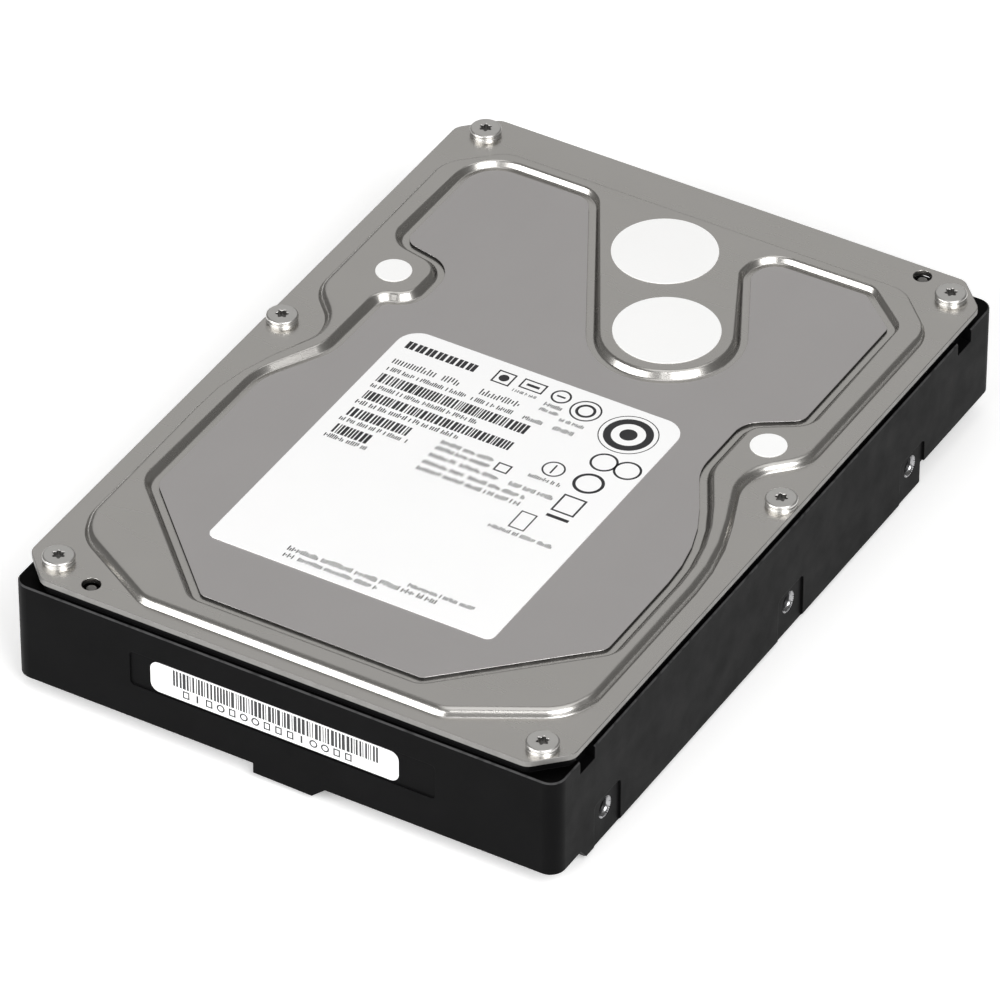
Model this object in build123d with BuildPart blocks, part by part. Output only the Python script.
from build123d import *

import os
from math import cos, radians, sin

# A 3.5-inch hard disk drive, millimetres. The origin is the middle of the underside, +Y points to
# the connector end, +Z up to the cover. Four platters turn on a fluid-bearing spindle, and a
# swinging arm block carries eight heads, which park on a ramp beside the platters.

os.makedirs("parts", exist_ok=True)

# ---------------------------------------------------------------- driving dimensions

WIDTH = 101.6
LENGTH = 146.0
HEIGHT = 26.1

# Casting
CASE_FRONT = -LENGTH / 2
CONNECTOR_FACE = LENGTH / 2
CASE_REAR = CONNECTOR_FACE
CASE_LENGTH = CASE_REAR - CASE_FRONT
CASE_MID = (CASE_REAR + CASE_FRONT) / 2
CORNER_R = 2.7
RIM_CHAMFER = 0.25
RIM_Z = 22.0  # ledge of the outer wall
SEAL_Z = 23.3  # face that carries the gasket
RAIL_IN = 43.6  # inner side of the two bottom rails
RAIL_FRONT = -62.7
RAIL_REAR = 48.2
RAIL_CHAMFER = 1.0
RAISED_FRONT_Z = 3.2
RAISED_REAR_Z = 4.8
UNDERSIDE_Z = 3.0
BOARD_POCKET_Z = 3.7
WELL_R = 48.3
WELL_FLOOR = 4.6
BAY_FLOOR = 5.5
SHROUD_Z = 21.2  # above this height the cavity follows the cover's crown
WALL_GAP = 0.9  # cavity wall inside the crown's foot

# Cover
GASKET_T = 0.4
SHEET = 1.0
SEAL_T = 0.1
PLATE_T = 0.45
PLATE_GAP = 1.3  # from the recess wall to the damping plate
LABEL_T = 0.12
FLANGE_Z = SEAL_Z + GASKET_T + SHEET
CROWN_Z = HEIGHT - SEAL_T
RECESS_Z = FLANGE_Z  # the sunk middle is level with the flange
COVER_HALF = 50.7
COVER_FRONT = -72.9
COVER_REAR = 72.8
COVER_CLIP = 5.6
CLIP_R = 2.5
CROWN_EDGE_R = 0.9

# Mounting holes of the 3.5-inch form factor, from the connector face
SIDE_HOLE_Y = [CONNECTOR_FACE - d for d in (28.5, 70.11, 130.1)]
SIDE_HOLE_Z = 6.35
SIDE_HOLE_DEPTH = 4.6
BOTTOM_HOLE_X = 95.25 / 2
BOTTOM_HOLE_Y = [CONNECTOR_FACE - d for d in (41.28, 85.73)]
BOTTOM_HOLE_DEPTH = 3.6
MOUNT_HOLE_R = 1.45
MOUNT_MOUTH_R = 2.0

# Cover screws and locating pins
COVER_SCREWS = [(-45.3, -67.3), (45.4, -68.2), (-47.8, 5.6), (47.8, 4.6), (-45.3, 68.1), (45.4, 67.2)]
SCREW_HEAD_R = 2.75
SCREW_HEAD_T = 1.3
SCREW_SHANK_R = 1.15
SCREW_SHANK = 8.0
SCREW_HOLE_DEPTH = 9.0
DRIVE_R = 0.95
DRIVE_LOBE_R = 0.32
DRIVE_DEPTH = 0.8
PINS = [(-37.5, -69.8), (38.4, 70.2)]
PIN_R = 0.9
PIN_DEPTH = 5.0
PIN_HOLE_R = 1.6

# Seals and labels
LARGE_SEALS = [(-1.4, 52.9), (9.7, 34.0)]
LARGE_SEAL_R = 9.1
SMALL_SEALS = [(-37.9, 25.2), (39.4, 15.4)]
SMALL_SEAL_R = 3.1
END_LABEL_Z = 13.5

# Spindle
SPINDLE = (0.0, -22.0)
PLATTER_R = 47.5
PLATTER_BORE_R = 12.5
PLATTER_T = 1.27
PLATTER_Z = 8.0  # underside of the lowest platter
PITCH = 3.3
PLATTERS = 4
HUB_R = PLATTER_BORE_R - 0.02
SEAT_R = 15.5
HUB_TOP = 19.4
SHAFT_R = 2.5
SLEEVE_R = 5.0
STATOR_R = 10.0

# Head stack
PIVOT = (9.7, 34.0)
PARK_ANGLE = 205.1  # direction of the arms from the pivot when parked
ARM_T = 0.8
HEAD_R = 50.0  # pivot to slider
TAB_R = 53.8
SUSPENSION_T = 0.2
SLIDER_T = 0.3
FLY_GAP = 0.115
PIVOT_SHAFT_R = 2.6
BEARING_R = 6.0
BLOCK_R = 9.0

# Voice-coil motor
YOKE_IN = 13.0
YOKE_OUT = 28.5
YOKE_T = 3.0
MAGNET_T = 2.2
COIL_Z = 13.9
COIL_T = 3.0
FRAME_T = 2.4
YOKE_ANGLES = (-18.0, 102.0)
MAGNET_ANGLES = (0.0, 84.0)
POSTS = [(22.5, -12.0), (22.5, 96.0), (31.5, 42.0)]
STOPS = [(15.5, -6.9), (15.5, 90.6)]
LOWER_YOKE_Z = BAY_FLOOR
UPPER_YOKE_Z = 2 * COIL_Z - BAY_FLOOR - YOKE_T

# Latch
LATCH = (41.3, 29.0)

# Circuit board
BOARD_Z = 0.9
BOARD_T = 1.0
BOARD_TOP = BOARD_Z + BOARD_T
BOARD_HALF = 42.5
BOARD_FRONT = -6.0
BOARD_REAR = 70.5
BOARD_SCREWS = [(-39.0, 31.0), (39.0, 31.0), (-39.0, 59.5), (39.0, 59.5), (2.0, 60.0)]
CHIP_T = 1.2

# Connector
PLUG_LEFT = -47.6
PLUG_RIGHT = -5.0
PLUG_BACK = 65.6
PLUG_TOP = 8.4
TONGUE_Z = 4.9

# ---------------------------------------------------------------- shared helpers


def save(part, name):
    """Label a finished part and write its STEP file."""
    part.label = name
    export_step(part, f"parts/{name}.step")


def outline(corners):
    """A face bounded by straight runs with a tangent arc at each corner: ((x, y), radius)."""
    with BuildSketch() as sketch:
        with BuildLine():
            FilletPolyline(*[point for point, _ in corners], radius=[r for _, r in corners], close=True)
        make_face()
    return sketch.sketch


def grown(shape, amount):
    """The same outline moved outwards, or inwards where amount is negative."""
    with BuildSketch() as sketch:
        add(shape)
        offset(amount=amount)
    return sketch.sketch


def around(centre, radius, angle):
    """The point at a radius and an angle in degrees from a centre."""
    return (centre[0] + radius * cos(radians(angle)), centre[1] + radius * sin(radians(angle)))


def level(z):
    """A horizontal plane at height z."""
    return Plane.XY.offset(z)


def sector(r_in, r_out, start, end):
    """A ring sector about the local origin, angles in degrees."""
    with BuildSketch() as sketch:
        with BuildLine():
            outer = CenterArc((0, 0), r_out, start, end - start)
            inner = CenterArc((0, 0), r_in, start, end - start)
            Line(outer @ 0, inner @ 0)
            Line(outer @ 1, inner @ 1)
        make_face()
    return sketch.sketch


# The crown's foot on the +X side, from front to rear. It dodges the screw at mid length.
CROWN_SIDE = [
    ((28.0, -70.2), 6.0),
    ((45.4, -60.5), 5.0),
    ((47.9, -54.6), 5.0),
    ((47.9, -13.5), 50.0),
    ((39.2, 7.2), 5.0),
    ((47.2, 15.3), 4.0),
    ((47.2, 56.0), 8.0),
    ((38.6, 64.4), 6.0),
]
crown = outline(CROWN_SIDE + [((-x, y), r) for (x, y), r in reversed(CROWN_SIDE)])

# The sunk middle, anticlockwise from the rear left corner. It runs round the small seal on the left,
# round the boss of the right-hand seal, and round the long boss that carries both large seals.
recess = outline(
    [
        ((-42.4, 61.5), 7.5),
        ((-42.4, 33.2), 4.0),
        ((-31.2, 30.9), 5.0),
        ((-31.2, 20.4), 4.5),
        ((-36.5, 18.3), 3.0),
        ((-36.7, 2.2), 8.0),
        ((-43.3, -9.8), 12.0),
        ((-43.3, -43.2), 5.0),
        ((-21.1, -65.0), 3.0),
        ((21.1, -65.0), 3.0),
        ((43.7, -43.2), 4.0),
        ((43.7, -12.4), 40.0),
        ((33.6, 5.3), 9.0),
        ((33.6, 18.9), 4.0),
        ((41.9, 24.3), 4.0),
        ((41.9, 54.6), 2.5),
        ((33.6, 61.6), 3.0),
        ((12.7, 61.3), 5.5),
        ((12.7, 54.6), 2.5),
        ((26.0, 29.2), 11.6),
        ((4.9, 17.7), 11.6),
        ((-19.6, 61.5), 5.0),
    ]
)

# The cover is a rectangle with clipped corners, each clip softened by an arc at both ends.
CLIP_CORNERS = [
    (COVER_HALF - COVER_CLIP, COVER_FRONT),
    (COVER_HALF, COVER_FRONT + COVER_CLIP),
    (COVER_HALF, COVER_REAR - COVER_CLIP),
    (COVER_HALF - COVER_CLIP, COVER_REAR),
]
cover_edge = outline(
    [(point, CLIP_R) for point in CLIP_CORNERS]
    + [((-x, y), CLIP_R) for x, y in reversed(CLIP_CORNERS)]
)

# Planes that turn with the arms: local +X points from the pivot to the heads.
ARM_PLANE = Plane(
    origin=(*PIVOT, 0),
    x_dir=(cos(radians(PARK_ANGLE)), sin(radians(PARK_ANGLE)), 0),
    z_dir=(0, 0, 1),
)
PIVOT_PLANE = Plane(origin=(*PIVOT, 0), z_dir=(0, 0, 1))

# ---------------------------------------------------------------- base casting

CAVITY_LENGTH = 70.0
BOSS_Z = 10.5
FLEX_SLOT = (-25.0, 45.0)
BREATHER = (-36.5, 46.5)
RELIEF_DEPTH = 0.35
LABEL_POCKET = 0.25
MOTOR_BORE_R = 10.45
FILTER_FLOOR = 6.5
FILTER_PLANE = Plane(origin=(*SPINDLE, FILTER_FLOOR), x_dir=around((0, 0), 1, -48) + (0,), z_dir=(0, 0, 1))

with BuildPart() as base_casting:
    # Outer wall with its ledge, and the narrower rim that carries the gasket
    with BuildSketch():
        with Locations((0, CASE_MID)):
            RectangleRounded(WIDTH, CASE_LENGTH, CORNER_R)
    extrude(amount=RIM_Z)
    chamfer(base_casting.faces().sort_by(Axis.Z)[-1].edges(), RIM_CHAMFER)
    with BuildSketch(level(RIM_Z)):
        add(grown(cover_edge, -0.7))
    extrude(amount=SEAL_Z - RIM_Z)

    # Underside: raised ends, then the channel between the rails and the board's pocket
    with BuildSketch(Plane.YZ):
        with BuildLine():
            Polyline(
                (CASE_FRONT - 1, -1),
                (RAIL_FRONT, -1),
                (RAIL_FRONT, 0),
                (RAIL_FRONT - 2.6, RAISED_FRONT_Z),
                (CASE_FRONT - 1, RAISED_FRONT_Z),
                close=True,
            )
        make_face()
    extrude(amount=WIDTH / 2 + 1, both=True, mode=Mode.SUBTRACT)
    with BuildSketch():
        with Locations((-WIDTH / 2 - 1, RAIL_REAR), (RAIL_IN, RAIL_REAR)):
            Rectangle(WIDTH / 2 - RAIL_IN + 1, 30, align=Align.MIN)
    extrude(amount=RAISED_REAR_Z, mode=Mode.SUBTRACT)
    with BuildSketch():
        with Locations((0, -66)):
            Rectangle(2 * RAIL_IN, 150, align=(Align.CENTER, Align.MIN))
    extrude(amount=UNDERSIDE_Z, mode=Mode.SUBTRACT)
    with BuildSketch(level(UNDERSIDE_Z)):
        with Locations((0, 27)):
            Rectangle(2 * (BOARD_HALF + 0.4), 37.5, align=(Align.CENTER, Align.MIN))
    extrude(amount=BOARD_POCKET_Z - UNDERSIDE_Z, mode=Mode.SUBTRACT)
    rail_edges = base_casting.edges().filter_by(Axis.Y).group_by(Axis.Z)[0].sort_by(Axis.X)
    chamfer([rail_edges[0], rail_edges[-1]], RAIL_CHAMFER)

    # Tab under the middle of the front face
    with BuildSketch(Plane.XZ.offset(-CASE_FRONT)):
        with BuildLine():
            Polyline((-5.5, 4), (-5.5, 1.2), (5.5, 1.0), (8.0, RAISED_FRONT_Z), (8.0, 4), close=True)
        make_face()
    extrude(amount=-6)

    # Disk well, actuator bay, and the wider space under the crown
    with BuildSketch(level(WELL_FLOOR)):
        with Locations(SPINDLE):
            Circle(WELL_R)
    extrude(amount=SEAL_Z - WELL_FLOOR, mode=Mode.SUBTRACT)
    with BuildSketch(level(BAY_FLOOR)):
        add(grown(crown, -WALL_GAP))
        with Locations((0, 2)):
            Rectangle(WIDTH, CAVITY_LENGTH, align=(Align.CENTER, Align.MIN), mode=Mode.INTERSECT)
    extrude(amount=SEAL_Z - BAY_FLOOR, mode=Mode.SUBTRACT)
    with BuildSketch(level(SHROUD_Z)):
        add(grown(crown, -WALL_GAP))
    extrude(amount=SEAL_Z - SHROUD_Z, mode=Mode.SUBTRACT)

    # Pocket for the recirculation filter, open to the well
    with BuildSketch(FILTER_PLANE):
        with Locations((50.5, 0)):
            Rectangle(8, 15)
    extrude(amount=SHROUD_Z - FILTER_FLOOR, mode=Mode.SUBTRACT)

    # Bosses inside the side walls, behind the rear side holes
    with BuildSketch(level(BAY_FLOOR)):
        with Locations((44.7, SIDE_HOLE_Y[0]), (-44.7, SIDE_HOLE_Y[0])):
            RectangleRounded(3.8, 9, 1.2)
    extrude(amount=BOSS_Z - BAY_FLOOR)

    # Standoffs for the circuit board
    with BuildSketch(level(BOARD_TOP)):
        with Locations(*BOARD_SCREWS):
            Circle(2.8)
    extrude(amount=BOARD_POCKET_Z - BOARD_TOP)
    with BuildSketch(level(BOARD_TOP)):
        with Locations(*BOARD_SCREWS):
            Circle(0.95)
    extrude(amount=3.1, mode=Mode.SUBTRACT)

    # Bore for the motor, slot for the head wiring, breather hole
    with BuildSketch():
        with Locations(SPINDLE):
            Circle(MOTOR_BORE_R)
        with Locations(FLEX_SLOT):
            RectangleRounded(12, 5, 1)
        with Locations(BREATHER):
            Circle(0.6)
    extrude(amount=BAY_FLOOR, mode=Mode.SUBTRACT)

    # Pocket for the connector, open to the rear and below
    with BuildSketch():
        with Locations((PLUG_LEFT - 0.5, PLUG_BACK - 0.2)):
            Rectangle(PLUG_RIGHT - PLUG_LEFT + 1, 10, align=Align.MIN)
    extrude(amount=PLUG_TOP + 0.4, mode=Mode.SUBTRACT)

    # Tapped holes for the cover screws and bores for the locating pins
    with BuildSketch(level(SEAL_Z)):
        with Locations(*COVER_SCREWS):
            Circle(SCREW_SHANK_R)
    extrude(amount=-SCREW_HOLE_DEPTH, mode=Mode.SUBTRACT)
    with BuildSketch(level(SEAL_Z)):
        with Locations(*PINS):
            Circle(PIN_R)
    extrude(amount=-PIN_DEPTH, mode=Mode.SUBTRACT)

    # Shallow reliefs round the side holes, and the notches under the cover near its corners
    for side in (1, -1):
        face = Plane(origin=(side * WIDTH / 2, 0, 0), x_dir=(0, side, 0), z_dir=(side, 0, 0))
        with BuildSketch(face):
            for y in SIDE_HOLE_Y:
                with Locations((side * y + 0.2, 4.2)):
                    RectangleRounded(8.4, 10.4, 1.0)
        extrude(amount=-RELIEF_DEPTH, mode=Mode.SUBTRACT)
        with BuildSketch(face):
            with Locations((side * -63.4, RIM_Z), (side * 62.2, RIM_Z)):
                Rectangle(4.6, 5.0)
        extrude(amount=-1.8, mode=Mode.SUBTRACT)
        # The mounting holes start at the bottom of their reliefs
        relief = Plane(origin=(side * (WIDTH / 2 - RELIEF_DEPTH), 0, 0), x_dir=(0, side, 0), z_dir=(side, 0, 0))
        with Locations(relief):
            with Locations(*[(side * y, SIDE_HOLE_Z) for y in SIDE_HOLE_Y]):
                CounterSinkHole(MOUNT_HOLE_R, MOUNT_MOUTH_R, depth=SIDE_HOLE_DEPTH)

    # Mounting holes in the rails
    with Locations(Plane(origin=(0, 0, 0), x_dir=(1, 0, 0), z_dir=(0, 0, -1))):
        with Locations(*[(x, -y) for x in (-BOTTOM_HOLE_X, BOTTOM_HOLE_X) for y in BOTTOM_HOLE_Y]):
            CounterSinkHole(MOUNT_HOLE_R, MOUNT_MOUTH_R, depth=BOTTOM_HOLE_DEPTH)

    # Shallow pocket for the narrow label on the front face
    with BuildSketch(Plane.XZ.offset(-CASE_FRONT)):
        with Locations((0, END_LABEL_Z)):
            RectangleRounded(57, 6.8, 0.8)
    extrude(amount=-LABEL_POCKET, mode=Mode.SUBTRACT)

save(base_casting.part, "base_casting")

# ---------------------------------------------------------------- cover and what is on it

with BuildPart() as top_cover:
    with BuildSketch(level(FLANGE_Z - SHEET)):
        add(cover_edge)
    extrude(amount=SHEET)
    with BuildSketch(level(FLANGE_Z)):
        add(crown)
    extrude(amount=CROWN_Z - FLANGE_Z)
    fillet(top_cover.faces().sort_by(Axis.Z)[-1].edges(), CROWN_EDGE_R)
    with BuildSketch(level(CROWN_Z)):
        add(recess)
    extrude(amount=RECESS_Z - CROWN_Z, mode=Mode.SUBTRACT)

    # The sheet has the same thickness all over, so its underside follows its top
    with BuildSketch(level(RECESS_Z - SHEET)):
        add(grown(crown, -SHEET))
        add(grown(recess, SHEET), mode=Mode.SUBTRACT)
    extrude(amount=CROWN_Z - RECESS_Z, mode=Mode.SUBTRACT)

    # Screw holes, pin holes, and the openings that the seals close
    with BuildSketch(level(CROWN_Z)):
        with Locations(*COVER_SCREWS):
            Circle(SCREW_SHANK_R + 0.4)
        with Locations(*PINS):
            Circle(PIN_HOLE_R)
        with Locations(*LARGE_SEALS):
            Circle(LARGE_SEAL_R - 2.5)
        with Locations(*SMALL_SEALS):
            Circle(SMALL_SEAL_R - 1.5)
    extrude(amount=-4, mode=Mode.SUBTRACT)
save(top_cover.part, "top_cover")

with BuildPart() as cover_gasket:
    with BuildSketch(level(SEAL_Z)):
        add(grown(crown, 0.6))
        with Locations(SPINDLE):
            Circle(WELL_R + 1.2)
        add(grown(crown, -0.5), mode=Mode.SUBTRACT)
        with Locations(SPINDLE):
            Circle(WELL_R + 0.2, mode=Mode.SUBTRACT)
    extrude(amount=GASKET_T)
save(cover_gasket.part, "cover_gasket")

with BuildPart() as damping_plate:
    with BuildSketch(level(RECESS_Z)):
        add(grown(recess, -PLATE_GAP))
        # Two small nicks on the front right slant
        with Locations((35.5, -48.6), (39.0, -45.4)):
            Circle(0.7, mode=Mode.SUBTRACT)
    extrude(amount=PLATE_T)
save(damping_plate.part, "damping_plate")

LABEL_CORNERS = [((-28.0, -50.2), 1.5), ((25.4, -50.2), 1.5), ((25.4, 13.8), 4.0), ((-28.0, 13.8), 4.0)]
with BuildPart() as top_label:
    with BuildSketch(level(RECESS_Z + PLATE_T)):
        add(outline(LABEL_CORNERS))
    extrude(amount=LABEL_T)
save(top_label.part, "top_label")

with BuildPart() as end_label:
    with BuildSketch(Plane.XZ.offset(-CASE_FRONT - LABEL_POCKET)):
        with Locations((-1.5, END_LABEL_Z)):
            RectangleRounded(46.4, 6.0, 1.6)
    extrude(amount=LABEL_T)
save(end_label.part, "end_label")

with BuildPart() as access_seals:
    with BuildSketch(level(CROWN_Z)):
        with Locations(*LARGE_SEALS):
            Circle(LARGE_SEAL_R)
    extrude(amount=SEAL_T)
save(access_seals.part, "access_seals")

with BuildPart() as servo_seals:
    with BuildSketch(level(CROWN_Z)):
        with Locations(*SMALL_SEALS):
            Circle(SMALL_SEAL_R)
    extrude(amount=SEAL_T)
save(servo_seals.part, "servo_seals")

with BuildPart() as cover_screws:
    with BuildSketch(level(FLANGE_Z)):
        with Locations(*COVER_SCREWS):
            Circle(SCREW_HEAD_R)
    extrude(amount=SCREW_HEAD_T)
    chamfer(cover_screws.faces().sort_by(Axis.Z)[-1].edges(), 0.3)
    # Six-lobed drive: a hexagon with a round lobe at each corner
    with BuildSketch(level(FLANGE_Z + SCREW_HEAD_T)):
        for screw in COVER_SCREWS:
            with Locations(screw):
                Circle(DRIVE_R)
                with PolarLocations(DRIVE_R, 6):
                    Circle(DRIVE_LOBE_R)
    extrude(amount=-DRIVE_DEPTH, mode=Mode.SUBTRACT)
    with BuildSketch(level(FLANGE_Z)):
        with Locations(*COVER_SCREWS):
            Circle(SCREW_SHANK_R - 0.02)
    extrude(amount=-SCREW_SHANK)
save(cover_screws.part, "cover_screws")

with BuildPart() as locating_pins:
    with BuildSketch(level(SEAL_Z - PIN_DEPTH)):
        with Locations(*PINS):
            Circle(PIN_R)
    extrude(amount=PIN_DEPTH + GASKET_T + SHEET - 0.2)
    chamfer(locating_pins.faces().sort_by(Axis.Z)[-2:].edges(), 0.2)
save(locating_pins.part, "locating_pins")

# ---------------------------------------------------------------- spindle motor, fixed parts

FLANGE_R = 15.0
COLLAR_Z = 6.6
STATOR_T = 4.0
TEETH = 9

with BuildPart() as motor_flange:
    with BuildSketch(level(1.4)):
        with Locations(SPINDLE):
            Circle(FLANGE_R)
    extrude(amount=UNDERSIDE_Z - 1.4)
    with BuildSketch(level(UNDERSIDE_Z)):
        with Locations(SPINDLE):
            Circle(10.4)
    extrude(amount=2.0)
    with BuildSketch(level(UNDERSIDE_Z)):
        with Locations(SPINDLE):
            Circle(6.2)
    extrude(amount=COLLAR_Z - UNDERSIDE_Z)
    with BuildSketch(level(2.2)):
        with Locations(SPINDLE):
            Circle(SLEEVE_R)
    extrude(amount=10, mode=Mode.SUBTRACT)
save(motor_flange.part, "motor_flange")

with BuildPart() as bearing_sleeve:
    with BuildSketch(level(2.2)):
        with Locations(SPINDLE):
            Circle(SLEEVE_R)
    extrude(amount=13.8)
    with BuildSketch(level(2.9)):
        with Locations(SPINDLE):
            Circle(SHAFT_R + 0.03)
    extrude(amount=14, mode=Mode.SUBTRACT)
save(bearing_sleeve.part, "bearing_sleeve")

with BuildPart() as stator_core:
    with BuildSketch(level(COLLAR_Z)):
        with Locations(SPINDLE):
            Circle(6.6)
            with PolarLocations(7.8, TEETH):
                Rectangle(3.4, 1.2)
            with PolarLocations(9.55, TEETH):
                Rectangle(0.7, 4.2)
            Circle(STATOR_R, mode=Mode.INTERSECT)
            Circle(SLEEVE_R, mode=Mode.SUBTRACT)
    extrude(amount=STATOR_T)
save(stator_core.part, "stator_core")

with BuildPart() as stator_windings:
    with BuildSketch(level(COLLAR_Z - 0.8)):
        with Locations(SPINDLE):
            with PolarLocations(7.95, TEETH):
                Rectangle(2.0, 3.0)
    extrude(amount=STATOR_T + 1.6)
    with BuildSketch(level(COLLAR_Z)):
        with Locations(SPINDLE):
            with PolarLocations(7.95, TEETH):
                Rectangle(2.4, 1.24)
    extrude(amount=STATOR_T, mode=Mode.SUBTRACT)
save(stator_windings.part, "stator_windings")

# ---------------------------------------------------------------- spindle, turning parts

with BuildPart() as spindle_hub:
    with BuildSketch(level(5.6)):
        with Locations(SPINDLE):
            Circle(HUB_R)
    extrude(amount=HUB_TOP - 5.6)
    with BuildSketch(level(6.4)):
        with Locations(SPINDLE):
            Circle(SEAT_R)
    extrude(amount=PLATTER_Z - 6.4)
    with BuildSketch(level(5.6)):
        with Locations(SPINDLE):
            Circle(11.4)
    extrude(amount=11.2, mode=Mode.SUBTRACT)
    with BuildSketch(level(HUB_TOP)):
        with Locations(SPINDLE):
            Circle(SHAFT_R)
            with PolarLocations(8.5, 6):
                Circle(0.9)
    extrude(amount=-3, mode=Mode.SUBTRACT)
save(spindle_hub.part, "spindle_hub")

with BuildPart() as spindle_shaft:
    with BuildSketch(level(3.0)):
        with Locations(SPINDLE):
            Circle(SHAFT_R)
    extrude(amount=HUB_TOP - 3.0)
    chamfer(spindle_shaft.faces().sort_by(Axis.Z)[-1].edges(), 0.3)
save(spindle_shaft.part, "spindle_shaft")

with BuildPart() as rotor_magnet:
    with BuildSketch(level(6.0)):
        with Locations(SPINDLE):
            Circle(11.4)
            Circle(10.4, mode=Mode.SUBTRACT)
    extrude(amount=6.0)
save(rotor_magnet.part, "rotor_magnet")

for index in range(PLATTERS):
    with BuildPart() as platter:
        with BuildSketch(level(PLATTER_Z + index * PITCH)):
            with Locations(SPINDLE):
                Circle(PLATTER_R)
                Circle(PLATTER_BORE_R, mode=Mode.SUBTRACT)
        extrude(amount=PLATTER_T)
        chamfer(platter.edges().filter_by(GeomType.CIRCLE), 0.12)
    save(platter.part, f"platter_{index + 1}")

with BuildPart() as spacer_rings:
    for index in range(PLATTERS - 1):
        with BuildSketch(level(PLATTER_Z + index * PITCH + PLATTER_T)):
            with Locations(SPINDLE):
                Circle(SEAT_R)
                Circle(PLATTER_BORE_R, mode=Mode.SUBTRACT)
        extrude(amount=PITCH - PLATTER_T)
save(spacer_rings.part, "spacer_rings")

CLAMP_TOP = HUB_TOP + 1.5
STACK_TOP = PLATTER_Z + (PLATTERS - 1) * PITCH + PLATTER_T

with BuildPart() as disk_clamp:
    with BuildSketch(level(HUB_TOP)):
        with Locations(SPINDLE):
            Circle(16.0)
    extrude(amount=CLAMP_TOP - HUB_TOP)
    chamfer(disk_clamp.faces().sort_by(Axis.Z)[-1].edges(), 0.4)
    with BuildSketch(level(STACK_TOP)):
        with Locations(SPINDLE):
            Circle(16.0)
            Circle(13.2, mode=Mode.SUBTRACT)
    extrude(amount=HUB_TOP - STACK_TOP)
    with Locations(Location((*SPINDLE, CLAMP_TOP))):
        Hole(3.2, depth=3)
        with PolarLocations(8.5, 6):
            CounterBoreHole(1.1, 2.0, 0.8, depth=3)
save(disk_clamp.part, "disk_clamp")

with BuildPart() as clamp_screws:
    for screw in range(6):
        with BuildSketch(level(CLAMP_TOP - 0.8)):
            with Locations(around(SPINDLE, 8.5, screw * 60)):
                Circle(1.9)
        extrude(amount=1.1)
        with BuildSketch(level(CLAMP_TOP + 0.3)):
            with Locations(around(SPINDLE, 8.5, screw * 60)):
                RegularPolygon(0.75, 6)
        extrude(amount=-0.6, mode=Mode.SUBTRACT)
        with BuildSketch(level(CLAMP_TOP - 0.8)):
            with Locations(around(SPINDLE, 8.5, screw * 60)):
                Circle(0.88)
        extrude(amount=-3.2)
save(clamp_screws.part, "clamp_screws")

# ---------------------------------------------------------------- head stack

ARM_Z = [PLATTER_Z + i * PITCH - (PITCH - PLATTER_T) / 2 - ARM_T / 2 for i in range(PLATTERS + 1)]
BLOCK_LOW = ARM_Z[0]
BLOCK_TOP = ARM_Z[-1] + ARM_T

with BuildPart() as pivot_shaft:
    with BuildSketch(level(BAY_FLOOR)):
        with Locations(PIVOT):
            Circle(4.2)
    extrude(amount=0.8)
    with BuildSketch(level(BAY_FLOOR)):
        with Locations(PIVOT):
            Circle(PIVOT_SHAFT_R)
    extrude(amount=17.1)
    with Locations(Location((*PIVOT, BAY_FLOOR + 17.1))):
        Hole(1.2, depth=5)
save(pivot_shaft.part, "pivot_shaft")

with BuildPart() as pivot_bearing:
    with BuildSketch(level(BLOCK_LOW)):
        with Locations(PIVOT):
            Circle(BEARING_R)
            Circle(PIVOT_SHAFT_R + 0.05, mode=Mode.SUBTRACT)
    extrude(amount=14.8)
    chamfer(pivot_bearing.faces().sort_by(Axis.Z)[-1].edges(), 0.2)
save(pivot_bearing.part, "pivot_bearing")

ARM_OUTLINE = outline(
    [((-2, -7.9), 1), ((8, -7.2), 4), ((33.4, -3.6), 2), ((33.4, 3.6), 2), ((8, 7.2), 4), ((-2, 7.9), 1)]
)
ARM_WINDOW = outline([((12.5, -3.4), 1.2), ((27, -1.6), 0.8), ((27, 1.6), 0.8), ((12.5, 3.4), 1.2)])

with BuildPart() as arm_block:
    with BuildSketch(ARM_PLANE.offset(BLOCK_LOW)):
        Circle(BLOCK_R)
    extrude(amount=BLOCK_TOP - BLOCK_LOW)
    for z in ARM_Z:
        with BuildSketch(ARM_PLANE.offset(z)):
            add(ARM_OUTLINE)
            add(ARM_WINDOW, mode=Mode.SUBTRACT)
            with Locations((30.8, 0)):
                Circle(1.1, mode=Mode.SUBTRACT)
        extrude(amount=ARM_T)
    with BuildSketch(ARM_PLANE.offset(BLOCK_LOW)):
        Circle(BEARING_R)
    extrude(amount=20, mode=Mode.SUBTRACT)
save(arm_block.part, "arm_block")

COIL_OUTLINE = outline([((-11.5, -4.2), 1.5), ((-25, -7.8), 2), ((-25, 7.8), 2), ((-11.5, 4.2), 1.5)])
COIL_WINDOW = outline([((-14.6, -2.0), 0.8), ((-21.8, -3.9), 1), ((-21.8, 3.9), 1), ((-14.6, 2.0), 0.8)])

with BuildPart() as voice_coil:
    with BuildSketch(ARM_PLANE.offset(COIL_Z - COIL_T / 2)):
        add(COIL_OUTLINE)
        add(COIL_WINDOW, mode=Mode.SUBTRACT)
    extrude(amount=COIL_T)
save(voice_coil.part, "voice_coil")

with BuildPart() as coil_frame:
    with BuildSketch(ARM_PLANE.offset(COIL_Z - FRAME_T / 2)):
        add(grown(COIL_OUTLINE, 1.6))
        with Locations((-9, 0)):
            Rectangle(5, 9)
        add(COIL_OUTLINE, mode=Mode.SUBTRACT)
        Circle(BLOCK_R, mode=Mode.SUBTRACT)
    extrude(amount=FRAME_T)
save(coil_frame.part, "coil_frame")

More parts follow.
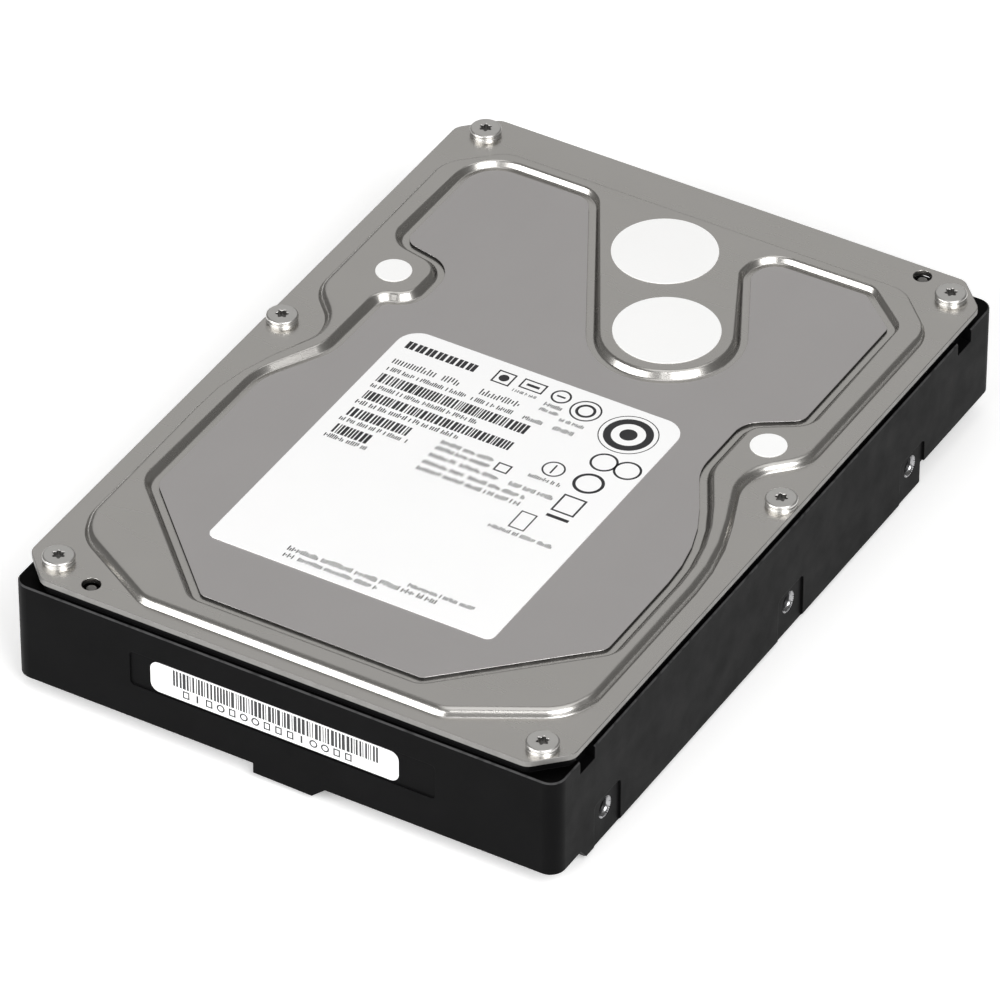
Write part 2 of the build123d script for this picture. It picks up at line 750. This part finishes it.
SUSPENSION_OUTLINE = outline(
    [
        ((28.6, -3.0), 0.6),
        ((34.2, -3.0), 0.6),
        ((36.0, -2.6), 2.0),
        ((49.6, -0.75), 0.4),
        ((50.9, -0.4), 0.3),
        ((TAB_R, -0.4), 0.3),
        ((TAB_R, 0.4), 0.3),
        ((50.9, 0.4), 0.3),
        ((49.6, 0.75), 0.4),
        ((36.0, 2.6), 2.0),
        ((34.2, 3.0), 0.6),
        ((28.6, 3.0), 0.6),
    ]
)

SLIDER_LOW_Z = []
SUSPENSION_LOW_Z = []
for index in range(PLATTERS):
    under = PLATTER_Z + index * PITCH
    over = under + PLATTER_T
    SLIDER_LOW_Z += [under - FLY_GAP - SLIDER_T, over + FLY_GAP]
    SUSPENSION_LOW_Z += [under - FLY_GAP - SLIDER_T - SUSPENSION_T, over + FLY_GAP + SLIDER_T]

with BuildPart() as suspensions:
    for z in SUSPENSION_LOW_Z:
        with BuildSketch(ARM_PLANE.offset(z)):
            add(SUSPENSION_OUTLINE)
            with Locations((30.8, 0)):
                Circle(1.1, mode=Mode.SUBTRACT)
            with Locations((39.5, 0)):
                SlotOverall(4.5, 1.3, mode=Mode.SUBTRACT)
        extrude(amount=SUSPENSION_T)
save(suspensions.part, "suspensions")

with BuildPart() as head_sliders:
    for z in SLIDER_LOW_Z:
        with BuildSketch(ARM_PLANE.offset(z)):
            with Locations((HEAD_R, 0)):
                Rectangle(1.2, 1.0)
        extrude(amount=SLIDER_T)
save(head_sliders.part, "head_sliders")

with BuildPart() as actuator_flex:
    with BuildSketch(ARM_PLANE.offset(8.0)):
        add(sector(BLOCK_R, BLOCK_R + 0.4, -100, -62))
    extrude(amount=9.0)
save(actuator_flex.part, "actuator_flex")

with BuildPart() as preamp_chip:
    with BuildSketch(ARM_PLANE.offset(10.5)):
        add(sector(BLOCK_R + 0.4, BLOCK_R + 1.1, -95, -83))
    extrude(amount=4.0)
save(preamp_chip.part, "preamp_chip")

# ---------------------------------------------------------------- voice-coil motor, fixed parts


def yoke_plate(z):
    """A steel yoke plate with a lug for the outer post."""
    with BuildPart() as plate:
        with BuildSketch(PIVOT_PLANE.offset(z)):
            add(sector(YOKE_IN, YOKE_OUT, *YOKE_ANGLES))
            with Locations(around((0, 0), *POSTS[2])):
                Circle(3.4)
            for post in POSTS:
                with Locations(around((0, 0), *post)):
                    Circle(1.0, mode=Mode.SUBTRACT)
        extrude(amount=YOKE_T)
    return plate.part


def magnet_plate(z):
    """A curved magnet bonded to a yoke."""
    with BuildPart() as plate:
        with BuildSketch(PIVOT_PLANE.offset(z)):
            add(sector(YOKE_IN + 2, YOKE_OUT - 2, *MAGNET_ANGLES))
        extrude(amount=MAGNET_T)
        chamfer(plate.edges().filter_by(Axis.Z), 0.8)
    return plate.part


save(yoke_plate(LOWER_YOKE_Z), "vcm_lower_yoke")
save(yoke_plate(UPPER_YOKE_Z), "vcm_upper_yoke")
save(magnet_plate(LOWER_YOKE_Z + YOKE_T), "vcm_lower_magnet")
save(magnet_plate(UPPER_YOKE_Z - MAGNET_T), "vcm_upper_magnet")

with BuildPart() as vcm_posts:
    with BuildSketch(PIVOT_PLANE.offset(LOWER_YOKE_Z + YOKE_T)):
        for post in POSTS:
            with Locations(around((0, 0), *post)):
                Circle(2.2)
                Circle(1.0, mode=Mode.SUBTRACT)
    extrude(amount=UPPER_YOKE_Z - LOWER_YOKE_Z - YOKE_T)
save(vcm_posts.part, "vcm_posts")

with BuildPart() as vcm_screws:
    for post in POSTS:
        with BuildSketch(PIVOT_PLANE.offset(UPPER_YOKE_Z + YOKE_T)):
            with Locations(around((0, 0), *post)):
                Circle(1.9)
        extrude(amount=0.8)
        with BuildSketch(PIVOT_PLANE.offset(UPPER_YOKE_Z + YOKE_T + 0.8)):
            with Locations(around((0, 0), *post)):
                RegularPolygon(0.8, 6)
        extrude(amount=-0.5, mode=Mode.SUBTRACT)
        with BuildSketch(PIVOT_PLANE.offset(UPPER_YOKE_Z + YOKE_T)):
            with Locations(around((0, 0), *post)):
                Circle(0.98)
        extrude(amount=-(UPPER_YOKE_Z + YOKE_T - LOWER_YOKE_Z))
save(vcm_screws.part, "vcm_screws")

with BuildPart() as crash_stops:
    with BuildSketch(PIVOT_PLANE.offset(LOWER_YOKE_Z + YOKE_T)):
        for stop in STOPS:
            with Locations(around((0, 0), *stop)):
                Circle(1.6)
    extrude(amount=UPPER_YOKE_Z - LOWER_YOKE_Z - YOKE_T)
save(crash_stops.part, "crash_stops")

# ---------------------------------------------------------------- ramp, latch and inner fittings

RAMP_IN = 51.2
RAMP_OUT = 54.2
FINGER_SIDE = 0.25  # how far a finger stands above and below its platter

with BuildPart() as load_ramp:
    with BuildSketch(ARM_PLANE.offset(BAY_FLOOR)):
        add(sector(RAMP_IN, RAMP_OUT + 1.2, -8.0, -2.6))
    extrude(amount=STACK_TOP + 1.4 - BAY_FLOOR)
    for index in range(PLATTERS):
        with BuildSketch(ARM_PLANE.offset(PLATTER_Z + index * PITCH - FINGER_SIDE)):
            add(sector(RAMP_IN, RAMP_OUT, -4.0, 2.6))
        extrude(amount=PLATTER_T + 2 * FINGER_SIDE)
save(load_ramp.part, "load_ramp")

LATCH_Z = COIL_Z - FRAME_T / 2
latch_outline = outline(
    [((1.9, -2.2), 1.2), ((1.4, 2.6), 1.5), ((-1.3, 8.0), 0.5), ((-2.9, 7.4), 0.5), ((-2.1, -2.2), 1.2)]
)

with BuildPart() as latch_lever:
    with BuildSketch(Plane(origin=(*LATCH, LATCH_Z), z_dir=(0, 0, 1))):
        add(latch_outline)
        Circle(1.05, mode=Mode.SUBTRACT)
    extrude(amount=FRAME_T)
save(latch_lever.part, "latch_lever")

with BuildPart() as latch_pin:
    with BuildSketch(level(BAY_FLOOR)):
        with Locations(LATCH):
            Circle(1.8)
    extrude(amount=LATCH_Z - BAY_FLOOR - 0.1)
    with BuildSketch(level(BAY_FLOOR)):
        with Locations(LATCH):
            Circle(1.0)
    extrude(amount=12)
save(latch_pin.part, "latch_pin")

with BuildPart() as flex_bracket:
    with BuildSketch(level(BAY_FLOOR)):
        with Locations((-22, 47)):
            RectangleRounded(19, 10, 1.5)
    extrude(amount=1.5)
    with BuildSketch(level(BAY_FLOOR)):
        with Locations((-16.5, 50.6)):
            Rectangle(9, 1.6)
    extrude(amount=11.5)
save(flex_bracket.part, "flex_bracket")

with BuildPart() as flex_cable:
    with BuildSketch(level(8.0)):
        with BuildLine() as flex_path:
            FilletPolyline((-20.5, 49.65), (-3.0, 49.65), (0.3, 39.9), radius=4)
        trace(flex_path.line, line_width=0.3)
    extrude(amount=9.0)
save(flex_cable.part, "flex_cable")

with BuildPart() as recirculation_filter:
    with BuildSketch(FILTER_PLANE):
        with Locations((51.6, 0)):
            RectangleRounded(4, 14, 1)
    extrude(amount=13)
save(recirculation_filter.part, "recirculation_filter")

with BuildPart() as breather_filter:
    with BuildSketch(level(BAY_FLOOR)):
        with Locations(BREATHER):
            Circle(5)
    extrude(amount=3)
    chamfer(breather_filter.faces().sort_by(Axis.Z)[-1].edges(), 0.5)
save(breather_filter.part, "breather_filter")

with BuildPart() as desiccant_pack:
    with BuildSketch(level(BAY_FLOOR)):
        with Locations((-34.5, 57)):
            RectangleRounded(11, 7, 1.5)
    extrude(amount=11)
    fillet(desiccant_pack.faces().sort_by(Axis.Z)[-1].edges(), 0.6)
save(desiccant_pack.part, "desiccant_pack")

# ---------------------------------------------------------------- circuit board and connector

with BuildPart() as pcb:
    with BuildSketch(level(BOARD_Z)):
        with BuildLine():
            FilletPolyline(
                (-BOARD_HALF, BOARD_FRONT),
                (BOARD_HALF, BOARD_FRONT),
                (BOARD_HALF, BOARD_REAR),
                (-BOARD_HALF, BOARD_REAR),
                radius=2,
                close=True,
            )
        make_face()
        # Notch round the motor flange
        with Locations(SPINDLE):
            Circle(20, mode=Mode.SUBTRACT)
        with Locations(*BOARD_SCREWS):
            Circle(1.2, mode=Mode.SUBTRACT)
    extrude(amount=BOARD_T)
save(pcb.part, "pcb")

with BuildPart() as pcb_screws:
    for screw in BOARD_SCREWS:
        with BuildSketch(level(BOARD_Z)):
            with Locations(screw):
                Circle(2.1)
        extrude(amount=-0.6)
        with BuildSketch(level(BOARD_Z - 0.6)):
            with Locations(screw):
                RegularPolygon(0.8, 6)
        extrude(amount=0.4, mode=Mode.SUBTRACT)
        with BuildSketch(level(BOARD_Z)):
            with Locations(screw):
                Circle(0.93)
        extrude(amount=3.7)
save(pcb_screws.part, "pcb_screws")

# Chips stand on the board's upper side, in the casting's pocket
CHIPS = {
    "controller_chip": [((-6, 45), (14, 14))],
    "motor_driver_chip": [((19, 36), (9, 9))],
    "support_chips": [((13, 52), (10, 7)), ((-24, 35), (6, 5)), ((30, 47), (5, 6)), ((27, 57), (6, 4))],
    "capacitors": [((x, y), (3.2, 1.8)) for x in (-14, -8, -2, 4) for y in (31.5, 34.5)],
}
for name, chips in CHIPS.items():
    with BuildPart() as chip:
        with BuildSketch(level(BOARD_TOP)):
            for centre, size in chips:
                with Locations(centre):
                    Rectangle(*size)
        extrude(amount=CHIP_T)
    save(chip.part, name)

with BuildPart() as pcb_insulator:
    with BuildSketch(level(BOARD_TOP + CHIP_T + 0.05)):
        with Locations((0, 28)):
            Rectangle(72, 29, align=(Align.CENTER, Align.MIN))
        with Locations(FLEX_SLOT):
            Rectangle(15, 8, mode=Mode.SUBTRACT)
    extrude(amount=0.4)
save(pcb_insulator.part, "pcb_insulator")

with BuildPart() as head_connector:
    with BuildSketch(level(BOARD_TOP)):
        with Locations(FLEX_SLOT):
            RectangleRounded(11, 4, 0.6)
    extrude(amount=BAY_FLOOR - BOARD_TOP)
save(head_connector.part, "head_connector")

with BuildPart() as motor_connector:
    with BuildSketch(level(BOARD_TOP)):
        with Locations((0, 1.5)):
            Rectangle(7, 3)
    extrude(amount=1.0)
save(motor_connector.part, "motor_connector")

PLUG_WIDTH = PLUG_RIGHT - PLUG_LEFT
TONGUE_LEFT = -43.0
TONGUE_RIGHT = -9.8
POST_W = 3.2

with BuildPart() as connector_housing:
    # Back wall, a guide post at each end, and the bridged tongue with its turned-up ends
    with BuildSketch(Plane.XZ.offset(-PLUG_BACK)):
        with Locations((PLUG_LEFT, BOARD_TOP)):
            Rectangle(PLUG_WIDTH, PLUG_TOP - BOARD_TOP, align=Align.MIN)
    extrude(amount=-1.9)
    with BuildSketch(Plane.XZ.offset(-PLUG_BACK - 1.9)):
        with Locations((PLUG_LEFT, BOARD_TOP)):
            Rectangle(POST_W, PLUG_TOP - BOARD_TOP, align=Align.MIN)
        with Locations((PLUG_RIGHT - POST_W, BOARD_TOP)):
            Rectangle(POST_W, PLUG_TOP - BOARD_TOP, align=Align.MIN)
        with Locations((TONGUE_LEFT, TONGUE_Z - 0.6)):
            Rectangle(TONGUE_RIGHT - TONGUE_LEFT, 1.2, align=Align.MIN)
        with Locations((TONGUE_LEFT, TONGUE_Z), (TONGUE_RIGHT - 1.2, TONGUE_Z)):
            Rectangle(1.2, 1.9, align=Align.MIN)
    extrude(amount=-(CONNECTOR_FACE - PLUG_BACK - 1.9))
    chamfer(connector_housing.faces().sort_by(Axis.Y)[-3:].edges(), 0.25)
save(connector_housing.part, "connector_housing")

# Power contacts, then data contacts, on top of the tongue; the second port lies underneath
CONTACT_W = 0.8
POWER_X = [TONGUE_LEFT + 2.2 + 1.27 * i for i in range(15)]
DATA_X = [TONGUE_RIGHT - 2.2 - 1.27 * i for i in range(7)]

with BuildPart() as connector_contacts:
    for z in (TONGUE_Z + 0.6, TONGUE_Z - 0.75):
        with BuildSketch(level(z)):
            with Locations(*[(x, PLUG_BACK + 1.9) for x in POWER_X + DATA_X]):
                Rectangle(CONTACT_W, 4.6, align=(Align.CENTER, Align.MIN))
        extrude(amount=0.15)
    with BuildSketch(level(BOARD_TOP)):
        with Locations(*[(x, PLUG_BACK - 1.3) for x in POWER_X + DATA_X]):
            Rectangle(CONTACT_W, 1.3, align=(Align.CENTER, Align.MIN))
    extrude(amount=0.2)
save(connector_contacts.part, "connector_contacts")
